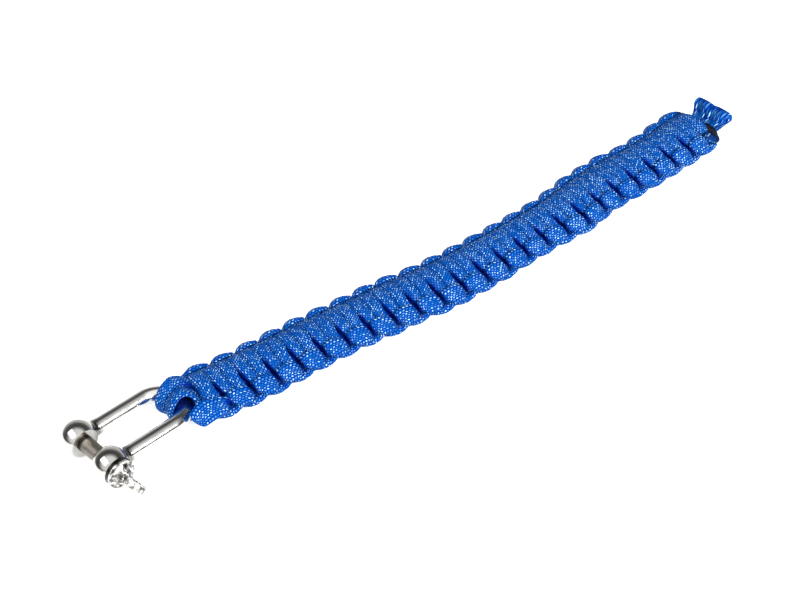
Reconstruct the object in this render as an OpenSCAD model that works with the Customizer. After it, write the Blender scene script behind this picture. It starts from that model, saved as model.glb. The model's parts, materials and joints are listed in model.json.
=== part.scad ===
// Paracord bracelet with a D-shackle, laid open on a flat surface.
// Millimetres. +X runs from the shackle to the free loop, +Z is up and the
// surface it lies on is z = 0. The origin is under the middle of the whole.

/* [Woven band] */
// Full cobra knots along the band
knot_count = 24; // [8:1:36]
// Length of band that one full knot takes
knot_pitch = 8.6; // [7.6:0.1:10]
// Width of the band over its edge turns
band_w = 20; // [18:0.5:24]
// Thickness of the band over its cross bars
band_t = 11; // [10.4:0.2:13]
// Width of the working cord where it lies flattened across the band
cord_w = 4.7; // [4:0.1:5.4]
// Thickness of the working cord where it lies flattened
cord_t = 3; // [2.4:0.1:3.4]
// Height of the edge turns' middle above and below the band's mid plane
turn_rise = 2.1; // [1.4:0.1:2.8]
// Angle that the band is bent through in plan, as it lies
bend_angle = 8; // [2:1:24]
// Length of band that the bend is spread over
bend_len = 60; // [40:5:64]
// Length of the cord's start and end beyond the first and last knot
tail_len = 2.6; // [2:0.2:3]

/* [Cord loops] */
// Width of each cord where it wraps over the shackle's bow
hitch_w = 4.2; // [4:0.1:4.4]
// Thickness of each cord where it wraps over the shackle's bow
hitch_t = 2.35; // [2:0.05:2.6]
// Play between the shackle's rod and the cords round it
hitch_play = 0.65; // [0.5:0.05:1]
// Distance from the middle of the bow's rod to the first knot
hitch_len = 5.4; // [5.2:0.1:8]
// Width of each cord at the crest of the free loop
loop_w = 6.6; // [5:0.1:7]
// Thickness of each cord at the crest of the free loop
loop_t = 2.2; // [1.8:0.1:2.6]
// Slit left between the two legs of the free loop at its crest
loop_gap = 1.8; // [1:0.1:3]
// Distance that the free loop reaches beyond the last knot
loop_reach = 8; // [6:0.5:16]
// Height of the free loop's crest above the band's mid plane
loop_rise = 8.6; // [6:0.2:14]
// Sideways lean of the free loop's crest towards the near side
loop_lean = 2.2; // [0:0.1:4]
// Gap between two cords that lie side by side
cord_gap = 0.2; // [0.1:0.05:0.4]
// Gap between a cord's modelled end and the piece that it runs into
seat_gap = 0.05; // [0.02:0.01:0.2]

/* [Melted end] */
// Length of the melted drop on the second working cord's end
drop_len = 1.3; // [0.8:0.1:1.6]
// Width of the melted drop
drop_w = 3; // [2.4:0.1:3.6]
// Height of the melted drop
drop_h = 2.8; // [2:0.1:3.6]

/* [Shackle] */
// Diameter of the shackle's rod
rod_d = 5; // [4:0.1:5.4]
// Distance between the middles of the two arms
arm_spacing = 15; // [14:0.2:18]
// Distance from the pin's axis to the middle of the bow's rod
shackle_len = 30.8; // [20:0.2:50]
// Diameter of the two ball-shaped eyes
eye_d = 11.2; // [9.6:0.1:12]
// Thickness of the eyes between their flats
eye_t = 6.4; // [5.6:0.1:7.4]
// Radius of the waist where each arm's rod runs into its eye
waist_r = 2; // [1:0.1:3]
// Angle in plan between the shackle and the band's first stretch
shackle_yaw = 9; // [0:1:12]
// Distance that the bow sits towards the band's far side
bow_offset = 1.5; // [0:0.1:2]

/* [Pin] */
// Diameter of the pin's shank
pin_d = 5; // [4:0.1:5.4]
// Running clearance between the shank and its bores, on the radius
pin_play = 0.08; // [0.05:0.01:0.1]
// Diameter of the collar that stops against the near eye
collar_d = 9; // [7.5:0.1:10.4]
// Thickness of the collar
collar_t = 1.9; // [1:0.1:3]
// Diameter of the flat tab's round end
tab_d = 6.8; // [5.6:0.1:8]
// Thickness of the flat tab
tab_t = 2; // [1.4:0.1:3]
// Diameter of the tapered shoulder at the collar
shoulder_d = 7; // [6:0.1:7.4]
// Length of the tapered shoulder between the collar and the flat tab
shoulder_len = 3.2; // [2:0.1:3.6]
// Distance from the collar to the middle of the tab's hole
tab_reach = 5.6; // [5:0.1:9]
// Diameter of the tab's hole
tab_hole_d = 3; // [2:0.1:3.6]
// Tilt of the tab's plane about the pin, from level
tab_angle = 50; // [0:5:90]

/* [Hidden] */

// Colours of the cord, its melted end, the polished bow and the dull pin
cord_blue = [0.03, 0.22, 0.75];
melted_blue = [0.03, 0.05, 0.14];
steel = [0.78, 0.79, 0.8];
pin_grey = [0.62, 0.6, 0.57];

// How far the core's skin lies inside the cords' middle, as shares of their
// thickness, at the edges and under the bars
edge_bed = 0.45;
bar_bed = 0.25;
// Shape of the weave: how far the bars zigzag along the band, and how
// square their arch over the core is
zigzag = 0.46;
arch_power = 3.4;
// How far a cord's end turns in towards the core, and how much thinner it gets
tail_tuck = 0.12;
tail_thin = 0.4;
// Share of a loop's rings that lie on its half turn, at the shackle and at the
// free end
hitch_arc = 0.6;
loop_arc = 0.3;
// How far the cords on the bow lean outwards with its curve, in degrees, the
// share of that on top of the rod, and the share of their width that they lose
hitch_tilt = 24;
hitch_lean = 0.3;
hitch_squeeze = 0.26;
// Where the free loop's curve has its knee, as shares of the crest's place, and
// how much its crest slants along the band for each millimetre across it
knee_x = 0.7;
knee_z = 0;
crest_slant = 0.12;

// Lengths and heights that follow from the sizes above
half_pitch = knot_pitch / 2;
bar_count = 2 * knot_count;
band_len = knot_count * knot_pitch;
hitch_r = rod_d / 2 + hitch_play + hitch_t / 2;
hitch_half = hitch_r + hitch_t / 2;
mid_z = max(band_t / 2, hitch_half);
edge_y = band_w / 2 - cord_t / 2;
bar_z = band_t / 2 - cord_t / 2;
core_half_w = edge_y - edge_bed * cord_t;
core_half_t = bar_z - bar_bed * cord_t;
leg_z = core_half_t / 2;
bow_r = arm_spacing / 2;

// Where the waist between an arm and its eye is centred, a little inside the
// eye's ball, and how far it stands proud of the rod
waist_lip = 0.04;
waist_y = rod_d / 2 + waist_lip + waist_r;
waist_x = sqrt(pow(eye_d / 2 - waist_lip + waist_r, 2) - waist_y * waist_y);
waist_out = waist_y * eye_d / (eye_d + 2 * waist_r);
// Diameter of the shoulder where it runs out on the flat tab
shoulder_end_d = 2.8;

// Facets: rings for each bar and sides of the band's skin, places looked at
// along one bar, sides, leaf and pieces of a tail, rings and sides of a loop,
// and round steel
skin_rings = 4;
skin_sides = 24;
cord_steps = 10;
cord_sides = 8;
leaf_t = 0.01;
tail_pieces = 3;
loop_rings = 24;
loop_sides = 10;
round_fn = 48;

// Plan of the band: straight, an arc, straight, with its ends level
bend_r = bend_len * 180 / (PI * bend_angle);
bend_from = (band_len - bend_len) / 2;
function heading(s) =
    bend_angle * (min(max((s - bend_from) / bend_len, 0), 1) - 0.5);
function along(s) =
    let (first = min(s, bend_from), last = max(s - bend_from - bend_len, 0), h = heading(s),
         h0 = -bend_angle / 2)
    [first * cos(h0) + bend_r * (sin(h) - sin(h0)) + last * cos(h),
     first * sin(h0) - bend_r * (cos(h) - cos(h0)) + last * sin(h)];

// A place on the band: s along it, y towards its far side, z from its mid
// plane. on_band measures from the first knot's middle, place in the part.
function on_band(p) =
    let (h = heading(p[0]), c = along(p[0]))
    [c[0] - p[1] * sin(h), c[1] + p[1] * cos(h), mid_z + p[2]];
function place(p) = on_band(p) + start;

function unit(v) = v / norm(v);

// Path of the two working cords. At every half knot t the first cord (side = 1)
// makes the bar on top and turns low round the edge, and the second (side = -1)
// makes the bar underneath and turns high.
function cord_at(t, side) =
    let (across = sin(180 * t), rise = bar_z - (bar_z + turn_rise) * pow(abs(across), arch_power))
    [half_pitch * (t + 0.5 - zigzag * sin(360 * t)), -side * edge_y * across, side * rise];

function outward(p) = unit([0, p[1] / (edge_y * edge_y), p[2] / (bar_z * bar_z)]);

// One flattened round section, centred on c, with width along wide and
// thickness along thick
function section(c, wide, thick, w, t, sides) =
    [for (k = [0:sides - 1])
        let (a = 360 * (k + 0.5) / sides)
        c + wide * (w / 2 * cos(a)) + thick * (t / 2 * sin(a))];

// Skin through a row of rings, closed at both ends
module sweep(rings) {
    n = len(rings[0]);
    last = len(rings) - 1;
    polyhedron(
        points = [for (ring = rings) each ring],
        faces = concat(
            [[for (k = [n - 1:-1:0]) k]],
            [[for (k = [0:n - 1]) last * n + k]],
            [for (j = [0:last - 1], k = [0:n - 1])
                [j * n + k, j * n + (k + 1) % n, (j + 1) * n + (k + 1) % n, (j + 1) * n + k]]),
        convexity = 6);
}

// Height at which a ray from the band's middle line, at s and along dir, leaves
// the cord that passes c
function over_cord(c, s, dir) =
    let (v = [c[0] - s, c[1], c[2]], reach = v * dir,
         miss = min(1, norm(v - reach * dir) / (cord_w / 2)))
    miss < 1 ? reach + cord_t / 2 * sqrt(1 - miss * miss) : 0;

function over_core(dir) = 1 / norm([dir[1] / core_half_w, dir[2] / core_half_t]);

// Height of the band's skin: the highest of the cords and the core
function skin_height(s, dir) =
    let (t_mid = round((s / half_pitch - 0.5) * cord_steps) / cord_steps)
    max(over_core(dir), max([for (k = [-cord_steps - 1:cord_steps + 1], side = [-1, 1])
        let (t = min(max(t_mid + k / cord_steps, -0.5), bar_count - 0.5))
        over_cord(cord_at(t, side), s, dir)]));

module weave() {
    rings = bar_count * skin_rings;
    sweep([for (j = [0:rings])
        let (s = band_len * j / rings)
        [for (k = [0:skin_sides - 1])
            let (a = -360 * (k + 0.5) / skin_sides, dir = unit([0, edge_y * cos(a), bar_z * sin(a)]))
            place([s, 0, 0] + skin_height(s, dir) * dir)]]);
}

// Section of a working cord's short end, bent in towards the core
function tail_section(t, side, way, u) =
    let (c = cord_at(t, side), wide = unit(cross([1, 0, 0], outward(c))),
         thick = cross(wide, [1, 0, 0]), in = 1 - tail_tuck * u * u,
         thin = 1 - tail_thin * pow(u, 3))
    section([c[0] + way * tail_len * u, c[1] * in, c[2] * in], wide, thick,
            cord_w * thin, cord_t * thin, cord_sides);

module tail(t, side, way) {
    for (k = [0:tail_pieces - 1]) hull() {
        leaf(tail_section(t, side, way, k / tail_pieces));
        leaf(tail_section(t, side, way, (k + 1) / tail_pieces));
    }
}

module leaf(points) {
    sweep([for (x = [-leaf_t, leaf_t] / 2) [for (p = points) place(p + [x, 0, 0])]]);
}

module woven_band() {
    color(cord_blue) union() {
        weave();
        for (side = [-1, 1]) {
            tail(-0.5, side, -1);
            tail(bar_count - 0.5, side, 1);
        }
    }
}

// Middle of the bow's rod at its crown, in the band's own terms
bow_at = [-hitch_len, bow_offset, 0];

function clamp(v) = min(max(v, 0), 1);

// Section of a hitch loop. u runs from the top leg's end in the band, round
// the inner side of the rod, to the bottom leg's end. The cord leans outwards
// where it lies on the bow, so that the bow can swing in it.
function hitch_section(u, lane) =
    let (turn = 180 * clamp((u - (1 - hitch_arc) / 2) / hitch_arc),
         leg = clamp((abs(2 * u - 1) - hitch_arc) / (1 - hitch_arc)),
         drop = (1 - cos(180 * leg)) / 2, off = 1 - pow(leg, 3), upper = u < 0.5 ? 1 : -1,
         yaw = shackle_yaw * off, across = [-sin(yaw), cos(yaw), 0],
         round = [-sin(turn) * cos(yaw), -sin(turn) * sin(yaw), cos(turn)],
         ahead = leg > 0
            ? unit([-upper * hitch_len, 0, PI / 2 * (hitch_r - leg_z) * sin(180 * leg)])
            : [-cos(turn) * cos(yaw), -cos(turn) * sin(yaw), -sin(turn)],
         lean = (hitch_lean + (1 - hitch_lean) * sqrt(sin(turn))) * off,
         tilt = hitch_tilt * lean, w = hitch_w * (1 - hitch_squeeze * lean),
         height = hitch_r * (1 - drop) + leg_z * drop,
         middle = [-hitch_len * (1 - leg) - seat_gap * leg, bow_offset * off, 0]
            + across * (lane * (w * cos(tilt) + cord_gap) / 2)
            + (leg > 0 ? [0, 0, upper * height] : round * hitch_r),
         wide = across * cos(tilt) + round * (lane * sin(tilt)))
    section(middle, wide, unit(cross(wide, ahead)), w, hitch_t, loop_sides);

module hitch_loop(lane) {
    color(cord_blue) sweep([for (k = [0:loop_rings])
        [for (p = hitch_section(k / loop_rings, lane)) place(p)]]);
}

module hitch_loop_near() { hitch_loop(-1); }
module hitch_loop_far() { hitch_loop(1); }

// The free loop's bight stands up from the band's end. Its middle line runs
// along loop_mid, in the plane of the band's length and height.
crest_r = (loop_gap + loop_t) / 2;
crest_mid = [loop_reach - crest_r - loop_t / 2, loop_rise - crest_r - loop_t / 2];
knee = [crest_mid[0] * knee_x, crest_mid[1] * knee_z];
function loop_mid(v) = 2 * v * (1 - v) * knee + v * v * crest_mid;
function loop_ahead(v) = unit((1 - 2 * v) * knee + v * crest_mid);
function loop_section(u, lane) =
    let (turn = 180 * clamp((u - (1 - loop_arc) / 2) / loop_arc),
         v = clamp((1 - abs(2 * u - 1)) / (1 - loop_arc)), m = loop_mid(v), a = loop_ahead(v),
         off = leg_z + (crest_r - leg_z) * v, up = [-a[1], a[0]],
         w = hitch_w + (loop_w - hitch_w) * v * v, t = hitch_t * (1 - v) + loop_t * v,
         y = lane * (w + cord_gap) / 2 - loop_lean * v * v, out = up * cos(turn) + a * sin(turn),
         q = m + off * out)
    section([band_len + seat_gap + q[0] - y * crest_slant * v, y, q[1]], [0, 1, 0], [out[0], 0, out[1]],
            w, t, loop_sides);

module end_loop(lane) {
    color(cord_blue) sweep([for (k = [loop_rings:-1:0])
        [for (p = loop_section(k / loop_rings, lane)) place(p)]]);
}

module end_loop_near() { end_loop(-1); }
module end_loop_far() { end_loop(1); }

// Reach of the whole thing, which puts the origin under its middle
shackle_heading = heading(0) + shackle_yaw;
bow_from_start = on_band(bow_at);
pin_from_start = bow_from_start - shackle_len * [cos(shackle_heading), sin(shackle_heading), 0];
tab_tip = bow_r + eye_t / 2 + pin_play + collar_t + tab_reach + tab_d / 2;
low_x = pin_from_start[0] - bow_r * sin(shackle_heading) - eye_d / 2;
low_y = pin_from_start[1] - tab_tip * cos(shackle_heading);
high_x = max([for (k = [0:loop_rings], p = loop_section(k / loop_rings, -1)) on_band(p)[0]]);
high_y = max(bow_from_start[1] - bow_r * sin(shackle_heading) + bow_r + rod_d / 2,
             max([for (k = [0:tail_pieces], p = tail_section(bar_count - 0.5, 1, 1, k / tail_pieces))
                 on_band(p)[1]]));
start = -[low_x + high_x, low_y + high_y, 0] / 2;

// Melted drop on the end of the second working cord, on the near side
module melted_tip() {
    c = cord_at(bar_count - 0.5, -1);
    s = c[0] + tail_len + seat_gap;
    at = place([s, c[1] * (1 - tail_tuck), c[2] * (1 - tail_tuck)]);
    color(melted_blue) translate(at) rotate([0, 0, heading(s)]) intersection() {
        scale([drop_len, drop_w / 2, drop_h / 2]) sphere(1, $fn = round_fn);
        translate([leaf_t, -drop_w, -drop_h]) cube([2 * drop_len, 2 * drop_w, 2 * drop_h]);
    }
}

// Puts a child made round the crown of the bow, arms towards -X, in its place
module at_bow() {
    c = place(bow_at);
    drop = asin((eye_d / 2 - mid_z) / shackle_len);
    translate(c) rotate([0, 0, shackle_heading]) rotate([0, drop, 0]) children();
}

// Ball-shaped eye with its waist towards the arm, along +X
module eye() {
    intersection() {
        union() {
            sphere(d = eye_d, $fn = round_fn);
            rotate([0, 90, 0]) rotate_extrude($fn = round_fn) difference() {
                square([waist_out, waist_x]);
                translate([waist_y, waist_x]) circle(r = waist_r, $fn = round_fn);
            }
        }
        cube([eye_d * 3, eye_t, eye_d * 2], center = true);
    }
}

module shackle_bow() {
    color(steel) at_bow() difference() {
        union() {
            translate([-bow_r, 0, 0]) rotate([0, 0, -90])
                rotate_extrude(angle = 180, $fn = round_fn) translate([bow_r, 0])
                circle(d = rod_d, $fn = round_fn);
            for (side = [-1, 1]) {
                translate([-bow_r, side * bow_r, 0]) rotate([0, -90, 0])
                    cylinder(d = rod_d, h = shackle_len - bow_r, $fn = round_fn);
                translate([-shackle_len, side * bow_r, 0]) eye();
            }
        }
        translate([-shackle_len, 0, 0]) rotate([90, 0, 0])
            cylinder(d = pin_d + 2 * pin_play, h = 2 * arm_spacing, center = true, $fn = round_fn);
    }
}

// Puts a child made along -Y from the near eye's outer flat in its place
module at_collar() {
    at_bow() translate([-shackle_len, -(arm_spacing + eye_t) / 2 - pin_play, 0])
        rotate([90, 0, 0]) children();
}

module shackle_pin() {
    shank_len = arm_spacing + eye_t + pin_play;
    neck_d = min(pin_d, tab_d);
    color(pin_grey) at_collar() difference() {
        union() {
            translate([0, 0, -shank_len]) cylinder(d = pin_d, h = shank_len, $fn = round_fn);
            cylinder(d = collar_d, h = collar_t, $fn = round_fn);
            translate([0, 0, collar_t])
                cylinder(d1 = shoulder_d, d2 = shoulder_end_d, h = shoulder_len, $fn = round_fn);
            translate([0, 0, collar_t]) rotate([0, 0, 180 - tab_angle]) rotate([90, 0, 0])
                linear_extrude(tab_t, center = true) {
                    translate([0, tab_reach]) circle(d = tab_d, $fn = round_fn);
                    polygon([[-neck_d / 2, 0], [neck_d / 2, 0], [tab_d / 2, tab_reach],
                             [-tab_d / 2, tab_reach]]);
                }
        }
        translate([0, 0, collar_t]) rotate([0, 0, 180 - tab_angle]) rotate([90, 0, 0])
            translate([0, tab_reach]) cylinder(d = tab_hole_d, h = 2 * tab_t, center = true,
                                               $fn = round_fn);
    }
}

woven_band();
hitch_loop_near();
hitch_loop_far();
end_loop_near();
end_loop_far();
melted_tip();
shackle_bow();
shackle_pin();
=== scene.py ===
import json
import math

import bpy
import numpy as np
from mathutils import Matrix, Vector


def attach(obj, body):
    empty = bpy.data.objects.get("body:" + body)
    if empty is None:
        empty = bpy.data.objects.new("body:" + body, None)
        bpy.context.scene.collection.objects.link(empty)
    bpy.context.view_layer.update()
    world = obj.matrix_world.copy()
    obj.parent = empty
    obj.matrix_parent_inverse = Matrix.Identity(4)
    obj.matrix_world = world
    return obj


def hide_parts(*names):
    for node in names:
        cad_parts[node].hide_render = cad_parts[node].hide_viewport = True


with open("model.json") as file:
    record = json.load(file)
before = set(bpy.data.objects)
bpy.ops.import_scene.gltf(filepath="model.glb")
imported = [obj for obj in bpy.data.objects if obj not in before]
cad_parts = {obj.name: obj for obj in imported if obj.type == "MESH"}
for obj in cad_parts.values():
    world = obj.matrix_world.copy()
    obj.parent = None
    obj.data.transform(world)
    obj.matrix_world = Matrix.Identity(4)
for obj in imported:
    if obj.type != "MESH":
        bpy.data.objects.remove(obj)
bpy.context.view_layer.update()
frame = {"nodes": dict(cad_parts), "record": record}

# Sizes in millimetres, as the band is built
MM = 0.001
KNOTS = 24
HALF_PITCH = 4.3
BARS = 2 * KNOTS
BAND_LEN = BARS * HALF_PITCH
MID_Z = 5.5
FLOOR_GAP = 0.01
EDGE_Y = 8.5
BAR_Z = 4.0
TURN_RISE = 2.1
BEND_ANGLE = math.radians(8)
BEND_LEN = 60.0

# A length too small to divide by, and one longer than any cord is wide
TINY = 0.01
ENDLESS = 1e3

# Shape of the weave: how far the bars zigzag, how wide the edge turns hook
# round each other, and how square the bars' arch over the core is
ZIGZAG = 0.46
HOOK = 0.2
ARCH_POWER = 2.6

# Half width and half thickness of a working cord that nothing presses on, how
# square its section is, and how much wider it is at the turns on top, from one
# share of the way to the edge and over another
CORD_HALF_W = 2.85
CORD_HALF_T = 1.65
CORD_SQUARE = 2.5
TURN_WIDEN = 0.16
TURN_FROM = 0.45
TURN_OVER = 0.5

# Where cords press on each other: how far along the band one can, how near on
# the same cord it doesn't, and how suddenly it flattens the section
REACH = 8.0
OWN_GAP = 6.5
PRESS_POWER = 9.0

# How dark the painted shade lies on a side that other cords press flat, from one
# lost share of its radius and over another
PRESS_SHADE = 0.6
PRESS_FROM = 0.35
PRESS_OVER = 0.6

# The near edge's lobes lean along the band, more the lower they are: lean, the
# heights it grows over, its reach across the band, the share that it loses near
# the floor, and the length it begins over at the shackle
LEAN = 2.3
LEAN_TOP = 4.5
LEAN_DEPTH = 5.5
LEAN_FROM = 1.5
LEAN_OVER = 5.5
LEAN_LOST = 0.65
LEAN_LOST_Z = -0.6
LEAN_LOST_OVER = 1.8
LEAN_EASE = 5.0

# Dark slits part the near lobes, their darkness partly painted shade: a slit's half
# width, its reach across the band, its floor and the height it opens over, how far
# its painted shade spreads, and from where to where along the band there are slits
SLIT_HALF = 0.5
SLIT_FROM = 1.0
SLIT_OVER = 3.5
SLIT_FLOOR = -1.6
SLIT_RISE = 2.5
SLIT_SHADE = 0.45
SLITS_FROM = -1.0
SLITS_TO = BAND_LEN - 7
SLITS_EASE = 2.0

# Rings for each half knot and sides of a working cord
RINGS = 24
SIDES = 30

# The sheath's braid: columns of stitches round a cord and a stitch's length
COLUMNS = 20
STITCH = 0.9

# The shackle's rod, how its bow lies in the cords, and the angles that it is
# given room at
ROD_D = 5.0
BOW_OFFSET = 1.5
BOW_R = 7.5
BOW_ROOM = 0.12
BOW_SWING = np.radians(np.arange(-60, 61, 10))
SHACKLE_YAW = math.radians(9)

# The cords' loops over the bow: section, play, length, the share that is round
# the rod, tilt, droop, and the painted shade on their inner side and in the crease between them
HITCH_W = 5.1
HITCH_T = 2.8
HITCH_PLAY = 0.7
HITCH_LEN = 5.4
HITCH_ARC = 0.6
HITCH_TILT = math.radians(24)
HITCH_LEAN = 0.3
HITCH_SQUEEZE = 0.2
HITCH_SPREAD = 4.0
HITCH_DROOP = math.radians(30)
HITCH_SHADE = 0.9
INSIDE_FROM = 0.1
INSIDE_OVER = 0.5
CREASE_FROM = 0.6
CREASE_OVER = 0.35
LEG_Z = 1.625
LEG_INTO = 2.4
CORD_GAP = 0.15

# The free loop: its sections at the crest and at the band, and its flutes
LOOP_W = 6.7
LOOP_FOLD = {-1: {"gap": 1.6, "thick": 2.2}, 1: {"gap": 0.6, "thick": 1.7}}
LOOP_REACH = 8.0
LOOP_RISE = 8.3
LOOP_BASE_W = 3.9
LOOP_BASE_T = 2.45
LOOP_LEAN = 2.2
LOOP_ARC = 0.3
CREST_SLANT = 0.12
KNEE_X = 0.7
LOOP_FLUTE = 0.11
LOOP_SQUARE = 5.0
LOOP_STRETCH = 4.0
LOOP_RINGS = 96
LOOP_SIDES = 144
LOOP_COLUMNS = 36

# The two core cords that the weave hides, seen only through its slits and painted wholly in shade
CORE_Y = 2.9
CORE_HALF_W = 2.8
CORE_HALF_T = 2.3
CORE_PAST = 1.0
CORE_RINGS = 160

# How far the far edge lies nearer to the band's middle, and the near edge
# further from it, as pairs of a place along the band and a distance
FAR_EASE = [(-5, 0.2), (5, 1.3), (14, 1.7), (28, 1.1), (40, 0.5), (56, 0.5), (70, 0.1), (82, 1.1),
            (95, 1.3), (120, 1.3), (136, 1.5), (144, 0.7), (152, -0.4), (160, -0.5), (167, -0.6),
            (176, 0.7), (188, 0.9), (198, -0.3), (212, -0.3)]
NEAR_EASE = [(-6, 0.3), (0, 1.0), (12, 1.3), (22, 1.0), (30, 0.4), (38, -0.2), (50, -0.6), (58, -0.5),
             (66, 0.1), (76, -0.3), (84, 0.8), (98, 0.3), (107, 0.1), (114, -0.6), (128, -0.6),
             (137, 0.3), (144, 0.9), (152, -0.5), (158, -0.9), (166, -0.4), (180, 0.0), (194, 0.0),
             (200, -0.3), (212, -0.2)]
EASE_FROM = 2.0
EASE_OVER = 6.0

# Each working cord's short end: its length beyond the weave, how far it ends
# nearer to the band's middle and higher, and how much wider it ends
TAILS = {
    (1, "start"): {"length": 3.0, "inward": 1.6, "lift": 0.6, "widen": 1.0},
    (-1, "start"): {"length": 6.6, "inward": -0.8, "lift": -2.0, "widen": 1.12},
    (1, "end"): {"length": 3.6, "inward": 2.6, "lift": 1.0, "widen": 1.0},
    (-1, "end"): {"length": 0.8, "inward": 0.8, "lift": 0.2, "widen": 1.1},
}
TAIL_RINGS = 20
TAIL_ROUND = 1.4
END_SHARE = 0.04

# The burnt end: where it is cut off and turns dark, and its melted bead, with
# half its length, width and thickness, and its two waves of lumps
CUT_RINGS = 2
BURN_BEFORE = 2.8
BURN_OVER = 1.2
MELT_AT = np.array([BAND_LEN + 0.6, -4.9, 2.2])
MELT_HALF = (1.7, 4.3, 2.3)
MELT_RINGS = 20
MELT_SIDES = 32
LUMPS = (0.07, 0.05)

# Colours of the cord: painted shade between the stitches, its own colour on them,
# their painted glints, painted shade in a crease, and where it is charred
CORD_GAP_SHADE = (0.0002, 0.020, 0.220, 1)
CORD_MID = (0.0003, 0.086, 0.300, 1)
CORD_GLINT = (0.520, 0.880, 1.000, 1)
CORD_SHADE = (0.0002, 0.011, 0.190, 1)
CHAR = (0.002, 0.004, 0.018, 1)
MELT_DARK = (0.0005, 0.002, 0.010, 1)
MELT_PALE = (0.008, 0.008, 0.014, 1)

# Stitches: slant, height, how pointed they are across and along, the bulge from
# which one shows its colour over the painted gap shade and its painted glint, and how few of them glint
STITCH_SLANT = 0.55
STITCH_HEIGHT = 0.14 * MM
STITCH_POINT = (0.7, 0.8)
STITCH_BODY = (0.25, 0.75)
STITCH_PEAK = (0.70, 0.98)
GLINT_POWER = 2.3

# Colours of the steel: the rod, and the eyes and waists of the shackle painted
# darker as shade, and the pin's shank, its pitted head and the painted shadow rings round it
ROD_DARK, ROD_PALE = (0.62, 0.61, 0.59, 1), (0.80, 0.79, 0.77, 1)
SHADED_EYE_DARK, SHADED_EYE_PALE = (0.40, 0.395, 0.375, 1), (0.60, 0.595, 0.57, 1)
WAIST_SHADE = (0.16, 0.15, 0.135, 1)
SHANK_DARK, SHANK_PALE = (0.12, 0.105, 0.09, 1), (0.30, 0.27, 0.235, 1)
HEAD_DARK, HEAD_PALE = (0.10, 0.095, 0.09, 1), (0.84, 0.83, 0.80, 1)
SHADOW_RING = (0.030, 0.026, 0.022, 1)

# Where the shackle's waists with their painted shade are, along its arms from its crown. Between which
# two places along the pin its far painted shadow ring, near painted shadow ring and shank run out
WAIST_AT = 25.6 * MM
WAIST_HALF = 2.8 * MM
FAR_RING = (-3.7 * MM, -3.1 * MM)
NEAR_RING = (11.85 * MM, 12.0 * MM)
SHANK_END = (10.6 * MM, 10.8 * MM)

# The studio: its floor, the direction that the bright half of the room lies in,
# and the room's greys from the side opposite to that direction
FLOOR_SIZE = 3.0
FLOOR_COLOUR = (0.80, 0.80, 0.80, 1)
FLOOR_GLOW = 0.55
WORLD_AIM = (-0.40, -0.50, 0.77)
WORLD_STOPS = [(0.0, 0.75), (0.34, 0.62), (0.46, 0.14), (0.68, 0.05), (0.78, 0.35), (0.86, 0.95), (1.0, 1.0)]
WORLD_POWER = 1.25

# The camera, and the place on the band that it looks at, in millimetres and with
# its height from the floor
CAMERA = {"azimuth": -39.0, "elevation": 41.5, "distance": 0.650, "lens": 94.5}
LOOK_AT = (73.5, 0.6, 5.0)


# Plan of the band, and where a place on it lies in the part

BEND_R = BEND_LEN / BEND_ANGLE
BEND_FROM = (BAND_LEN - BEND_LEN) / 2
joints = {joint["name"]: joint for joint in frame["record"]["behaviour"]["joints"]}
crown = Vector(joints["shackle_swing"]["pos_m"]) / MM


def clamp(v):
    """Values kept between 0 and 1."""
    return np.clip(v, 0.0, 1.0)


def smooth(v):
    """An even step from 0 to 1 as the value goes from 0 to 1."""
    v = clamp(v)
    return v * v * (3 - 2 * v)


def heading(s):
    """Direction of the band in plan at a place along it."""
    return BEND_ANGLE * (clamp((s - BEND_FROM) / BEND_LEN) - 0.5)


START = np.array([
    crown.x + HITCH_LEN * math.cos(heading(0)) + BOW_OFFSET * math.sin(heading(0)),
    crown.y + HITCH_LEN * math.sin(heading(0)) - BOW_OFFSET * math.cos(heading(0))])


def place(points):
    """Places on the band (s along it, y towards its far side, z from its mid plane) in the part, in m."""
    s, y, z = points[..., 0], points[..., 1], points[..., 2]
    h, h0 = heading(s), heading(0.0)
    first = np.minimum(s, BEND_FROM)
    last = np.maximum(s - BEND_FROM - BEND_LEN, 0)
    x = first * np.cos(h0) + BEND_R * (np.sin(h) - np.sin(h0)) + last * np.cos(h) - y * np.sin(h)
    across = first * np.sin(h0) - BEND_R * (np.cos(h) - np.cos(h0)) + last * np.sin(h) + y * np.cos(h)
    return np.stack([x + START[0], across + START[1], np.maximum(z + MID_Z, FLOOR_GAP)], -1) * MM


def unit(v):
    """Vectors scaled to length 1."""
    return v / np.linalg.norm(v, axis=-1, keepdims=True)


def lengths(path):
    """Length along a path at each of its points."""
    return np.concatenate([[0], np.cumsum(np.linalg.norm(np.diff(path, axis=0), axis=1))])


# The two working cords

def weave_path(t, side):
    """Middle of a working cord at half knot t. Cord 1 makes the bars on top, cord -1 the bars underneath."""
    across = np.sin(np.pi * t)
    rise = BAR_Z - (BAR_Z + TURN_RISE) * np.abs(across) ** ARCH_POWER
    s = HALF_PITCH * (t + 0.5 - ZIGZAG * np.sin(2 * np.pi * t) + HOOK * np.sin(4 * np.pi * t))
    return np.stack([s, -side * EDGE_Y * across, side * rise], -1)


def tail_path(root, side, end):
    """Middle of a working cord's short end, from the weave outwards, and how wide it is along it."""
    tail = TAILS[side, end]
    u = np.linspace(0, 1, TAIL_RINGS + 1)[1:]
    way = 1 if end == "end" else -1
    inward = -np.sign(root[1]) * tail["inward"] * u ** 2
    lift = tail["lift"] * u ** 2
    return root + np.stack([way * tail["length"] * u, inward, lift], -1), 1 + (tail["widen"] - 1) * u


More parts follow.
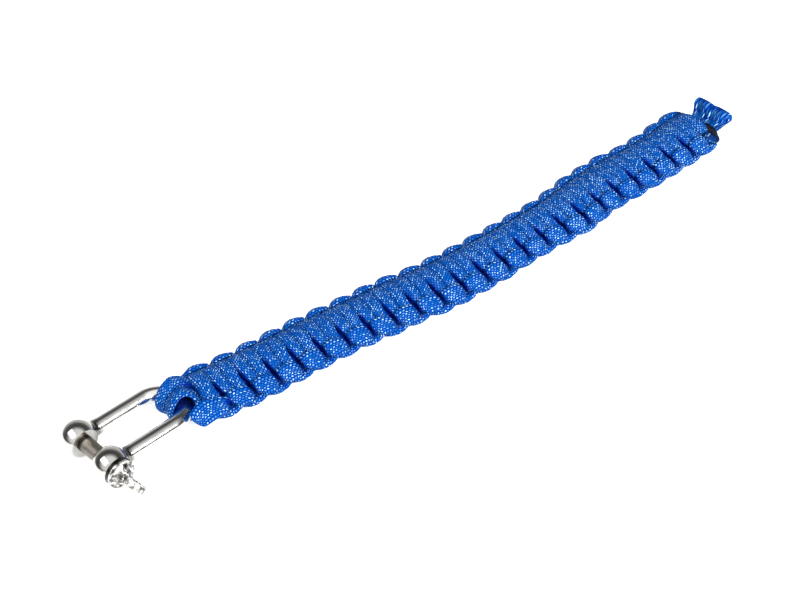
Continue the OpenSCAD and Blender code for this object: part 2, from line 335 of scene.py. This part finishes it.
def working_cord(side):
    """Path of a working cord, with its short ends, and how wide it is along the path."""
    t = np.linspace(-0.5, BARS - 0.5, BARS * RINGS + 1)
    if side == -1:
        t = t[:-CUT_RINGS]
    weave = weave_path(t, side)
    first, first_wide = tail_path(weave[0], side, "start")
    last, last_wide = tail_path(weave[-1], side, "end")
    path = np.concatenate([first[::-1], weave, last])
    wide = np.concatenate([first_wide[::-1], np.ones(len(t)), last_wide])
    return path, wide


def frames(path):
    """Directions across a working cord: along its width, and outwards from the core."""
    ahead = unit(np.gradient(path, axis=0))
    out = np.stack([0 * path[:, 0], path[:, 1] / EDGE_Y ** 2, path[:, 2] / BAR_Z ** 2], -1)
    out = unit(out - (out * ahead).sum(-1, keepdims=True) * ahead)
    return np.cross(out, ahead), out


def part_lobes(rings):
    """Rings of a cord with the near lobes leaning and slits between them, and the painted shade in the
    slits.
    """
    s, y, z = rings[..., 0], rings[..., 1], rings[..., 2]
    off = s % (2 * HALF_PITCH) - HALF_PITCH
    inside = smooth((s - SLITS_FROM) / SLITS_EASE) * smooth((SLITS_TO - s) / SLITS_EASE)
    half = SLIT_HALF * smooth((-y - SLIT_FROM) / SLIT_OVER) * smooth((z - SLIT_FLOOR) / SLIT_RISE) * inside
    way = np.where(off >= 0, 1.0, -1.0)
    pushed = way * np.sqrt(off ** 2 + half ** 2)
    lean = LEAN * smooth((-y - LEAN_FROM) / LEAN_OVER) * clamp((LEAN_TOP - z) / LEAN_DEPTH)
    lean = lean * (1 - LEAN_LOST * smooth((LEAN_LOST_Z - z) / LEAN_LOST_OVER))
    lean = lean * smooth((s + LEAN_EASE) / LEAN_EASE)
    # Painted shade on the walls of a slit
    dark = (half / SLIT_HALF) * np.exp(-((np.abs(pushed) - half) / SLIT_SHADE) ** 2)
    eased = (y - np.interp(s, *np.transpose(FAR_EASE)) * smooth((y - EASE_FROM) / EASE_OVER)
             - np.interp(s, *np.transpose(NEAR_EASE)) * smooth((-y - EASE_FROM) / EASE_OVER))
    return np.stack([s - off + pushed + lean, eased, z], -1), dark


def round_ends(path):
    """Share of its section that a cord keeps near its two rounded ends."""
    run = lengths(path)
    left = np.minimum(run, run[-1] - run)
    return np.maximum(np.sqrt(1 - (1 - clamp(left / TAIL_ROUND)) ** 2), END_SHARE)


def clear_of_bow(rings):
    """Rings of a cord moved out of the room that the bow swings in."""
    cos_yaw, sin_yaw = math.cos(SHACKLE_YAW), math.sin(SHACKLE_YAW)
    x, y, up = rings[..., 0] + HITCH_LEN, rings[..., 1] - BOW_OFFSET, rings[..., 2]
    ahead, aside = x * cos_yaw + y * sin_yaw, y * cos_yaw - x * sin_yaw
    for angle in BOW_SWING:
        along = ahead * np.cos(angle) + up * np.sin(angle) + BOW_R
        off = up * np.cos(angle) - ahead * np.sin(angle)
        share = BOW_R / np.hypot(along, aside).clip(TINY)
        rod_x = np.where(along > 0, along * share, along)
        rod_y = np.where(along > 0, aside * share, np.sign(aside) * BOW_R)
        apart = np.sqrt((along - rod_x) ** 2 + (aside - rod_y) ** 2 + off ** 2).clip(TINY)
        push = np.maximum((ROD_D / 2 + BOW_ROOM) / apart, 1.0)
        aside = rod_y + (aside - rod_y) * push
        along = rod_x + (along - rod_x) * push - BOW_R
        off = off * push
        ahead, up = along * np.cos(angle) - off * np.sin(angle), along * np.sin(angle) + off * np.cos(angle)
    return np.stack([ahead * cos_yaw - aside * sin_yaw - HITCH_LEN,
                     aside * cos_yaw + ahead * sin_yaw + BOW_OFFSET, up], -1)


def pressed(path, directions, free, run, side, neighbours):
    """Radii of a cord's rings where the cords round it leave it less room than its free radii."""
    places, owners, runs = neighbours
    room = np.full(free.shape, ENDLESS)
    for i in range(0, len(path), RINGS):
        rows = slice(i, i + RINGS)
        c = path[rows]
        near = np.abs(places[:, 0] - c[:, 0].mean()) < REACH
        v = places[near][None] - c[:, None]
        own = (owners[near][None] == side) & (np.abs(runs[near][None] - run[rows][:, None]) < OWN_GAP)
        toward = np.einsum("rpx,rkx->rkp", v, directions[rows])
        square = (v ** 2).sum(-1)[:, None, :]
        faces_it = (toward > TINY) & ~own[:, None, :]
        room[rows] = np.where(faces_it, square / np.maximum(2 * toward, TINY), ENDLESS).min(-1)
    return (free ** -PRESS_POWER + room ** -PRESS_POWER) ** (-1 / PRESS_POWER)


def section_radii(angles, half_w, half_t, square):
    """Radii of a section between an ellipse and a rectangle."""
    return ((np.abs(np.cos(angles)) / half_w) ** square
            + (np.abs(np.sin(angles)) / half_t) ** square) ** (-1 / square)


# Meshes

def tube(name, rings, run, painted_shade, burn, stitches_round=COLUMNS):
    """Mesh of a cord through its rings, closed at both ends, with the braid's map and the painted shade and
    burn that colour it.
    """
    n, sides = rings.shape[:2]
    skin = place(rings)
    points = np.concatenate([skin.reshape(-1, 3), skin[:1].mean(1), skin[-1:].mean(1)])
    j, k = np.meshgrid(np.arange(n - 1), np.arange(sides), indexing="ij")
    nxt = (k + 1) % sides
    quads = np.stack([j * sides + k, j * sides + nxt, (j + 1) * sides + nxt, (j + 1) * sides + k], -1)
    columns = np.stack([k, k + 1, k + 1, k], -1) * stitches_round / sides
    stitches = np.stack([run[j], run[j], run[j + 1], run[j + 1]], -1) / STITCH
    ring = np.arange(sides)
    after = (ring + 1) % sides
    first = np.stack([np.full(sides, n * sides), after, ring], -1)
    last = np.stack([np.full(sides, n * sides + 1), (n - 1) * sides + ring, (n - 1) * sides + after], -1)
    faces = quads.reshape(-1, 4).tolist() + first.tolist() + last.tolist()
    mesh = bpy.data.meshes.new(name)
    mesh.from_pydata(points.tolist(), [], faces)
    cap_u = np.full(6 * sides, 0.5)
    cap_v = np.repeat([run[0], run[-1]], 3 * sides) / STITCH
    uv = np.stack([np.concatenate([columns.reshape(-1), cap_u]),
                   np.concatenate([stitches.reshape(-1), cap_v])], -1)
    mesh.uv_layers.new(name="braid").data.foreach_set("uv", uv.reshape(-1).astype(np.float32))
    for label, values in (("painted_shade", painted_shade), ("burn", burn)):
        flat = np.concatenate([values.reshape(-1), values[:1].mean(1), values[-1:].mean(1)])
        layer = mesh.attributes.new(label, "FLOAT", "POINT")
        layer.data.foreach_set("value", flat.astype(np.float32))
    mesh.polygons.foreach_set("use_smooth", [True] * len(mesh.polygons))
    mesh.update()
    return mesh


def piece(name, mesh, material, body, slot, *nodes):
    """A visible piece in the place of CAD nodes, moving with a body."""
    obj = bpy.data.objects.new(name, mesh)
    bpy.context.scene.collection.objects.link(obj)
    mesh.materials.append(material)
    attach(obj, body)
    if nodes:
        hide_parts(*nodes)


# Materials

class NodeMaterial:
    """A material with a Principled shader, and makers of the nodes that colour it."""

    def __init__(self, name):
        self.material = bpy.data.materials.new(name)
        self.material.use_nodes = True
        self.tree = self.material.node_tree
        self.principled = self.tree.nodes["Principled BSDF"]

    def node(self, kind, inputs=(), **settings):
        """A node with its inputs linked to sockets or set to values."""
        made = self.tree.nodes.new(kind)
        for key, value in settings.items():
            setattr(made, key, value)
        for key, value in dict(inputs).items():
            if isinstance(value, bpy.types.NodeSocket):
                self.tree.links.new(value, made.inputs[key])
            else:
                made.inputs[key].default_value = value
        return made

    def maths(self, operation, a, b=0.0, c=0.0):
        """One step of arithmetic."""
        return self.node("ShaderNodeMath", {0: a, 1: b, 2: c}, operation=operation).outputs[0]

    def step(self, value, low, high, kind="LINEAR", to_low=0.0, to_high=1.0):
        """A rise from to_low to to_high as the value goes from low to high."""
        inputs = {0: value, 1: low, 2: high, 3: to_low, 4: to_high}
        return self.node("ShaderNodeMapRange", inputs, interpolation_type=kind).outputs[0]

    def blend(self, amount, a, b):
        """Colour a turning into colour b as the amount goes from 0 to 1."""
        inputs = {"Factor": amount, 6: a, 7: b}
        return self.node("ShaderNodeMix", inputs, data_type="RGBA").outputs[2]

    def place_in(self):
        """A point's place in its object."""
        return self.node("ShaderNodeTexCoord").outputs["Object"]

    def noise(self, vector, scale, detail):
        """Cloudy noise in space."""
        inputs = {"Vector": vector, "Scale": scale, "Detail": detail}
        return self.node("ShaderNodeTexNoise", inputs).outputs[0]

    def along(self, point, origin, axis):
        """How far along an axis a point lies from an origin."""
        inputs = {0: point, 1: tuple(origin)}
        offset = self.node("ShaderNodeVectorMath", inputs, operation="SUBTRACT").outputs[0]
        inputs = {0: offset, 1: tuple(axis)}
        return self.node("ShaderNodeVectorMath", inputs, operation="DOT_PRODUCT").outputs["Value"]

    def link(self, value, socket):
        """Feed one of the shader's inputs."""
        self.tree.links.new(value, self.principled.inputs[socket])

    def bump(self, height, strength, distance):
        """Relief from a height."""
        inputs = {"Strength": strength, "Distance": distance, "Height": height}
        self.link(self.node("ShaderNodeBump", inputs).outputs[0], "Normal")

    def constants(self, **sockets):
        """Set the shader's inputs, named with underscores for spaces."""
        for socket, value in sockets.items():
            self.principled.inputs[socket.replace("_", " ")].default_value = value


def braided_cord():
    """Nylon sheath: bulging stitches in columns, each column half a stitch on from the last, with painted
    shade between the stitches and in creases and painted glints on a few.
    """
    m = NodeMaterial("braided_nylon")
    uv = m.node("ShaderNodeUVMap", uv_map="braid").outputs[0]
    split = m.node("ShaderNodeSeparateXYZ", {0: uv})
    u, v = split.outputs[0], split.outputs[1]
    column = m.maths("FLOOR", u)
    odd = m.maths("MODULO", column, 2.0)
    across = m.maths("SUBTRACT", u, column)
    lean = m.maths("MULTIPLY", m.maths("SUBTRACT", across, 0.5), m.maths("MULTIPLY_ADD", odd, -2.0, 1.0))
    up = m.maths("ADD", m.maths("MULTIPLY_ADD", odd, 0.5, v), m.maths("MULTIPLY", lean, STITCH_SLANT))
    row = m.maths("FLOOR", up)
    along = m.maths("SUBTRACT", up, row)
    crown_u = m.maths("POWER", m.maths("SINE", m.maths("MULTIPLY", across, math.pi)), STITCH_POINT[0])
    crown_v = m.maths("POWER", m.maths("SINE", m.maths("MULTIPLY", along, math.pi)), STITCH_POINT[1])
    bulge = m.maths("MULTIPLY", crown_u, crown_v)
    cell = m.node("ShaderNodeCombineXYZ", {0: column, 1: row}).outputs[0]
    chance = m.node("ShaderNodeTexWhiteNoise", {0: cell}, noise_dimensions="2D").outputs[0]
    # Painted shade in the gaps between the stitches, the cord's own colour on their bulges
    body = m.step(bulge, *STITCH_BODY, "SMOOTHSTEP")
    peak = m.step(bulge, *STITCH_PEAK, "SMOOTHSTEP")
    # Painted glints on the crests of a few stitches
    glint = m.maths("MULTIPLY", peak, m.maths("POWER", chance, GLINT_POWER))
    tint = m.blend(glint, m.blend(body, CORD_GAP_SHADE, CORD_MID), CORD_GLINT)
    # Painted shade in creases, slits and hidden cords, then the char of the burnt end
    painted_shade = m.node("ShaderNodeAttribute", attribute_name="painted_shade").outputs["Fac"]
    burn = m.node("ShaderNodeAttribute", attribute_name="burn").outputs["Fac"]
    m.link(m.blend(burn, m.blend(painted_shade, tint, CORD_SHADE), CHAR), "Base Color")
    m.bump(bulge, strength=0.8, distance=STITCH_HEIGHT)
    m.constants(Roughness=0.48, Specular_IOR_Level=0.02)
    return m.material


def melted_cord():
    """Nylon melted to a dark glossy bead with charred streaks."""
    m = NodeMaterial("melted_nylon")
    streaks = m.noise(m.place_in(), scale=900.0, detail=4.0)
    m.link(m.blend(streaks, MELT_DARK, MELT_PALE), "Base Color")
    m.bump(streaks, strength=0.7, distance=0.2 * MM)
    m.constants(Roughness=0.40, Specular_IOR_Level=0.08)
    return m.material


def polished_steel(origin, axis):
    """Polished stainless steel with faint wear, with painted shade at the waists and eyes, which lie along
    the axis.
    """
    m = NodeMaterial("polished_stainless")
    place_in = m.place_in()
    along = m.along(place_in, origin, axis)
    # Painted shade: the waists and eyes take darker base colours than the rod
    off_waist = m.maths("ABSOLUTE", m.maths("SUBTRACT", along, WAIST_AT))
    waist_shade = m.step(off_waist, 0.0, WAIST_HALF, "SMOOTHSTEP", to_low=1.0, to_high=0.0)
    in_eye = m.step(along, WAIST_AT, WAIST_AT + WAIST_HALF)
    cloud = m.noise(place_in, scale=260.0, detail=5.0)
    worn_and_shaded = m.blend(in_eye, m.blend(cloud, ROD_DARK, ROD_PALE), m.blend(cloud, SHADED_EYE_DARK, SHADED_EYE_PALE))
    m.link(m.blend(waist_shade, worn_and_shaded, WAIST_SHADE), "Base Color")
    m.link(m.step(cloud, 0.0, 1.0, to_low=0.06, to_high=0.20), "Roughness")
    m.bump(cloud, strength=0.15, distance=0.05 * MM)
    m.constants(Metallic=1.0)
    return m.material


def pin_steel(origin, axis):
    """The pin: a dull turned shank, a brighter pitted head past its end, and painted shadow rings at the
    eyes.
    """
    m = NodeMaterial("turned_pin")
    place_in = m.place_in()
    along = m.along(place_in, origin, axis)
    marks = {"W": m.maths("MULTIPLY", along, 1 / MM), "Scale": 5.0, "Detail": 6.0}
    turned = m.node("ShaderNodeTexNoise", marks, noise_dimensions="1D").outputs[0]
    cloud = m.noise(place_in, scale=700.0, detail=5.0)
    pitted = m.step(cloud, 0.40, 0.62, "SMOOTHSTEP")
    # Painted shadow rings where the pin meets the eyes
    from_eye = m.step(along, *FAR_RING)
    past_ring = m.step(along, *NEAR_RING)
    past_shank = m.step(along, *SHANK_END)
    shank = m.blend(from_eye, SHADOW_RING, m.blend(turned, SHANK_DARK, SHANK_PALE))
    head = m.blend(past_ring, SHADOW_RING, m.blend(pitted, HEAD_DARK, HEAD_PALE))
    m.link(m.blend(past_shank, shank, head), "Base Color")
    rough_shank = m.maths("MULTIPLY_ADD", turned, 0.2, 0.3)
    rough_head = m.maths("MULTIPLY_ADD", cloud, 0.3, 0.06)
    rough = m.node("ShaderNodeMix", {"Factor": past_shank, 2: rough_shank, 3: rough_head}).outputs[0]
    m.link(rough, "Roughness")
    relief = m.maths("ADD", turned, m.maths("MULTIPLY", cloud, 0.6))
    m.bump(relief, strength=0.6, distance=0.14 * MM)
    m.constants(Metallic=1.0)
    return m.material


# Making the cords

nylon = braided_cord()
angles = 2 * np.pi * np.arange(SIDES) / SIDES
paths = {side: working_cord(side) for side in (1, -1)}
places = np.concatenate([paths[side][0] for side in (1, -1)])
owners = np.concatenate([np.full(len(paths[side][0]), side) for side in (1, -1)])
runs = np.concatenate([lengths(paths[side][0]) for side in (1, -1)])
for side, name in ((1, "top_cord"), (-1, "edge_cord")):
    path, widen = paths[side]
    run = lengths(path)
    wide, out = frames(path)
    directions = (np.cos(angles)[None, :, None] * wide[:, None]
                  + np.sin(angles)[None, :, None] * out[:, None])
    turning = smooth((np.abs(path[:, 1]) / EDGE_Y - TURN_FROM) / TURN_OVER) * (path[:, 2] > 0)
    half_w = CORD_HALF_W * widen * (1 + TURN_WIDEN * turning)
    free = section_radii(angles[None], half_w[:, None], CORD_HALF_T, CORD_SQUARE)
    tight = pressed(path, directions, free, run, side, (places, owners, runs))
    # Painted shade on the sides that other cords press flat
    pressed_shade = PRESS_SHADE * smooth((1 - tight / free - PRESS_FROM) / PRESS_OVER)
    radii = tight * round_ends(path)[:, None]
    rings, dark = part_lobes(path[:, None] + directions * radii[..., None])
    burnt = smooth((path[:, 0] - BAND_LEN + BURN_BEFORE) / BURN_OVER) if side == -1 else 0 * path[:, 0]
    burn = np.repeat(burnt[:, None], SIDES, 1)
    mesh = tube(name, clear_of_bow(rings), run, np.maximum(pressed_shade, dark), burn)
    piece(name, mesh, nylon, "band", "cord", "woven_band")


def plain_cord(name, sections, nodes, dark, flute=0.0, square=CORD_SQUARE, stretch=1.0,
               stitches_round=COLUMNS, sides=SIDES):
    """A cord through given sections, with flutes along it where its sheath is stretched."""
    centre, wide, thick, half_w, half_t = sections
    a = 2 * np.pi * np.arange(sides) / sides
    corner = np.asarray(square).reshape(-1, 1)
    radii = section_radii(a[None], half_w[:, None], half_t[:, None], corner)
    radii = radii + np.asarray(flute).reshape(-1, 1) * np.cos(stitches_round * a)[None]
    reach = (radii * round_ends(centre)[:, None])[..., None]
    rings = centre[:, None] + reach * (np.cos(a)[None, :, None] * wide[:, None]
                                       + np.sin(a)[None, :, None] * thick[:, None])
    shade = dark * np.ones(rings.shape[:2])
    mesh = tube(name, clear_of_bow(rings), lengths(centre) / stretch, shade, 0 * shade, stitches_round)
    piece(name, mesh, nylon, "band", "cord", *nodes)


def hitch_sections(u, lane):
    """Sections of a cord that wraps over the bow, from its top leg round the rod to its bottom leg."""
    turn = np.pi * clamp((u - (1 - HITCH_ARC) / 2) / HITCH_ARC)
    leg = clamp((np.abs(2 * u - 1) - HITCH_ARC) / (1 - HITCH_ARC))
    drop = (1 - np.cos(np.pi * leg)) / 2
    off = 1 - leg ** 3
    upper = np.where(u < 0.5, 1.0, -1.0)
    yaw = SHACKLE_YAW * off
    zero = 0 * u
    hitch_r = ROD_D / 2 + HITCH_PLAY + HITCH_T / 2
    across = np.stack([-np.sin(yaw), np.cos(yaw), zero], -1)
    round_rod = np.stack([-np.sin(turn) * np.cos(yaw), -np.sin(turn) * np.sin(yaw), np.cos(turn)], -1)
    on_leg = np.stack([-upper * HITCH_LEN, zero, np.pi / 2 * (hitch_r - LEG_Z) * np.sin(np.pi * leg)], -1)
    on_rod = np.stack([-np.cos(turn) * np.cos(yaw), -np.cos(turn) * np.sin(yaw), -np.sin(turn)], -1)
    ahead = np.where((leg > 0)[:, None], unit(on_leg), on_rod)
    lean = (HITCH_LEAN + (1 - HITCH_LEAN) * np.sqrt(np.sin(turn).clip(0))) * off
    droop = (HITCH_DROOP if lane < 0 else 0.0) * np.sin(np.pi * leg)
    tilt = HITCH_TILT * lean - droop
    squeeze, spread = (0.0, HITCH_SPREAD) if lane < 0 else (HITCH_SQUEEZE, 0.0)
    w = HITCH_W * (1 - squeeze * lean) + spread * np.sin(np.pi * leg)
    height = hitch_r * (1 - drop) + LEG_Z * drop
    middle = np.stack([-HITCH_LEN * (1 - leg) + LEG_INTO * leg, BOW_OFFSET * off, zero], -1)
    middle += across * (lane * (w * np.cos(tilt) + CORD_GAP) / 2)[:, None]
    middle += np.where((leg > 0)[:, None], np.stack([zero, zero, upper * height], -1), round_rod * hitch_r)
    middle -= round_rod * (w / 2 * np.sin(droop))[:, None]
    wide = across * np.cos(tilt)[:, None] + round_rod * (lane * np.sin(tilt))[:, None]
    return middle, wide, unit(np.cross(wide, ahead)), w / 2, HITCH_T / 2 + zero


def rise_along(u):
    """How far up the free loop its cord is, from 0 in the band to 1 at the crest."""
    return clamp((1 - np.abs(2 * u - 1)) / (1 - LOOP_ARC))


def loop_sections(u, lane):
    """Sections of a leg pair of the free loop, from its top leg over the crest to its bottom leg."""
    fold = LOOP_FOLD[lane]
    crest_r = (fold["gap"] + fold["thick"]) / 2
    outer_r = crest_r + fold["thick"] / 2
    crest = np.array([LOOP_REACH - outer_r, LOOP_RISE - outer_r])
    knee = np.array([crest[0] * KNEE_X, 0.0])
    turn = (np.pi * clamp((u - (1 - LOOP_ARC) / 2) / LOOP_ARC))[:, None]
    v = rise_along(u)
    m = 2 * (v * (1 - v))[:, None] * knee + (v * v)[:, None] * crest
    a = unit((1 - 2 * v)[:, None] * knee + v[:, None] * crest)
    up = np.stack([-a[:, 1], a[:, 0]], -1)
    out = up * np.cos(turn) + a * np.sin(turn)
    q = m + (LEG_Z + (crest_r - LEG_Z) * v)[:, None] * out
    w = LOOP_BASE_W + (LOOP_W - LOOP_BASE_W) * v * v
    t = LOOP_BASE_T * (1 - v) + fold["thick"] * v
    y = lane * (w + CORD_GAP) / 2 - LOOP_LEAN * v
    inside = -LEG_INTO * (1 - v) ** 3
    middle = np.stack([BAND_LEN + inside + q[:, 0] - y * CREST_SLANT * v, y, q[:, 1]], -1)
    zero = 0 * u
    wide = np.stack([zero, 1 + zero, zero], -1)
    return middle, wide, np.stack([out[:, 0], zero, out[:, 1]], -1), w / 2, t / 2


def core_sections(s, lane):
    """Even sections of a core cord."""
    zero, one = 0 * s, 1 + 0 * s
    middle = np.stack([s, lane * CORE_Y * one, zero], -1)
    wide, thick = np.stack([zero, one, zero], -1), np.stack([zero, zero, one], -1)
    return middle, wide, thick, CORE_HALF_W * one, CORE_HALF_T * one


loop_u = np.linspace(0, 1, LOOP_RINGS + 1)
core_s = np.linspace(-CORE_PAST, BAND_LEN + CORE_PAST, CORE_RINGS)
rise = rise_along(loop_u)
on_legs = np.sin(np.pi * clamp((np.abs(2 * loop_u - 1) - HITCH_ARC) / (1 - HITCH_ARC)))[:, None]
# Painted shade on the hitch cords' inner sides and in the crease between them
inside = smooth((-np.sin(angles) - INSIDE_FROM) / INSIDE_OVER)[None]
for lane, side_name in ((-1, "near"), (1, "far")):
    crease = on_legs * smooth((-lane * np.cos(angles) - CREASE_FROM) / CREASE_OVER)[None]
    plain_cord(f"shackle_cord_{side_name}", hitch_sections(loop_u, lane), [f"hitch_loop_{side_name}"],
               HITCH_SHADE * np.maximum(inside, crease))
    plain_cord(f"free_cord_{side_name}", loop_sections(loop_u, lane), [f"end_loop_{side_name}"], 0.0,
               flute=LOOP_FLUTE * rise ** 2, square=CORD_SQUARE + LOOP_SQUARE * rise ** 2,
               stretch=LOOP_STRETCH, stitches_round=LOOP_COLUMNS, sides=LOOP_SIDES)
# The core cords are painted wholly in shade
for lane, side_name in ((-1, "near"), (1, "far")):
    plain_cord(f"core_cord_{side_name}", core_sections(core_s, lane), [], 1.0)


def melted_end():
    """A flattened glossy bead on the second working cord's cut end, lumpy where it ran."""
    lat = np.linspace(0, np.pi, MELT_RINGS)[:, None]
    lon = 2 * np.pi * np.arange(MELT_SIDES)[None] / MELT_SIDES
    x = MELT_HALF[0] * np.cos(lat) * np.ones_like(lon)
    y = MELT_HALF[1] * np.sin(lat) * np.cos(lon)
    z = MELT_HALF[2] * np.sin(lat) * np.sin(lon)
    lump = (1 + LUMPS[0] * np.sin(2.1 * y + 1.3) * np.cos(2.7 * z + 0.4)
            + LUMPS[1] * np.sin(4.3 * y + 2.0 * x))
    rings = MELT_AT + lump[..., None] * np.stack([x, y, z], -1)
    shade = np.zeros((MELT_RINGS, MELT_SIDES))
    mesh = tube("melted_end", rings, np.linspace(0, 1, MELT_RINGS), shade, shade)
    piece("melted_end", mesh, melted_cord(), "band", "melted_cord", "melted_tip")


melted_end()

# The shackle keeps its CAD shapes
bow = frame["nodes"]["shackle_bow"]
pin = frame["nodes"]["shackle_pin"]
pin_axis = Vector(joints["pin_withdraw"]["axis"])
arm_axis = pin_axis.cross(Vector((0, 0, 1)))
for obj, steel in ((bow, polished_steel(crown * MM, arm_axis)), (pin, pin_steel(crown * MM, pin_axis))):
    obj.data.materials.clear()
    obj.data.materials.append(steel)


# Floor, light and camera

def staged_floor():
    """A plain pale floor under the part."""
    half = FLOOR_SIZE / 2
    mesh = bpy.data.meshes.new("floor")
    corners = [(-half, -half, 0), (half, -half, 0), (half, half, 0), (-half, half, 0)]
    mesh.from_pydata(corners, [], [(0, 1, 2, 3)])
    obj = bpy.data.objects.new("floor", mesh)
    bpy.context.scene.collection.objects.link(obj)
    m = NodeMaterial("floor")
    noise = m.node("ShaderNodeTexNoise", {"Scale": 3.0}).outputs[0]
    m.link(m.blend(noise, FLOOR_COLOUR, tuple(0.99 * c for c in FLOOR_COLOUR[:3]) + (1,)), "Base Color")
    m.constants(Roughness=0.9, Emission_Color=(1, 1, 1, 1), Emission_Strength=FLOOR_GLOW)
    mesh.materials.append(m.material)


def soft_light(name, position, size, power):
    """A soft area light turned to the part."""
    light = bpy.data.lights.new(name, "AREA")
    light.shape = "RECTANGLE"
    light.size, light.size_y = size
    light.energy = power
    obj = bpy.data.objects.new(name, light)
    obj.location = position
    obj.rotation_euler = (-Vector(position)).to_track_quat("-Z", "Y").to_euler()
    bpy.context.scene.collection.objects.link(obj)


def studio_world():
    """The room that the steel reflects: its greys go by how far a direction is turned to its bright half."""
    world = bpy.data.worlds.new("studio")
    world.use_nodes = True
    bpy.context.scene.world = world
    tree = world.node_tree
    coordinates = tree.nodes.new("ShaderNodeTexCoord")
    aim = tree.nodes.new("ShaderNodeVectorMath")
    aim.operation = "DOT_PRODUCT"
    aim.inputs[1].default_value = WORLD_AIM
    ramp = tree.nodes.new("ShaderNodeValToRGB")
    centred = tree.nodes.new("ShaderNodeMath")
    centred.operation = "MULTIPLY_ADD"
    centred.inputs[1].default_value = 0.5
    centred.inputs[2].default_value = 0.5
    tree.links.new(coordinates.outputs["Generated"], aim.inputs[0])
    tree.links.new(aim.outputs["Value"], centred.inputs[0])
    tree.links.new(centred.outputs[0], ramp.inputs[0])
    tree.links.new(ramp.outputs[0], tree.nodes["Background"].inputs[0])
    while len(ramp.color_ramp.elements) < len(WORLD_STOPS):
        ramp.color_ramp.elements.new(0.5)
    for element, (at, grey) in zip(ramp.color_ramp.elements, WORLD_STOPS):
        element.position = at
        element.color = (grey, grey, grey, 1)
    tree.nodes["Background"].inputs[1].default_value = WORLD_POWER


staged_floor()
soft_light("key", (0.10, -0.80, 0.55), (0.5, 0.5), 13.0)
soft_light("fill", (-0.7, 0.1, 0.8), (0.9, 0.5), 7.0)
studio_world()
bpy.context.scene.view_settings.view_transform = "Standard"

azimuth, elevation = math.radians(CAMERA["azimuth"]), math.radians(CAMERA["elevation"])
back = Vector((math.sin(azimuth) * math.cos(elevation), -math.cos(azimuth) * math.cos(elevation),
               math.sin(elevation)))
look_at = Vector(place(np.array([LOOK_AT[0], LOOK_AT[1], LOOK_AT[2] - MID_Z])))
camera = bpy.data.objects.new("camera", bpy.data.cameras.new("camera"))
camera.data.lens = CAMERA["lens"]
camera.data.sensor_width = 36.0
camera.location = look_at + CAMERA["distance"] * back
camera.rotation_euler = (-back).to_track_quat("-Z", "Y").to_euler()
bpy.context.scene.collection.objects.link(camera)
bpy.context.scene.camera = camera
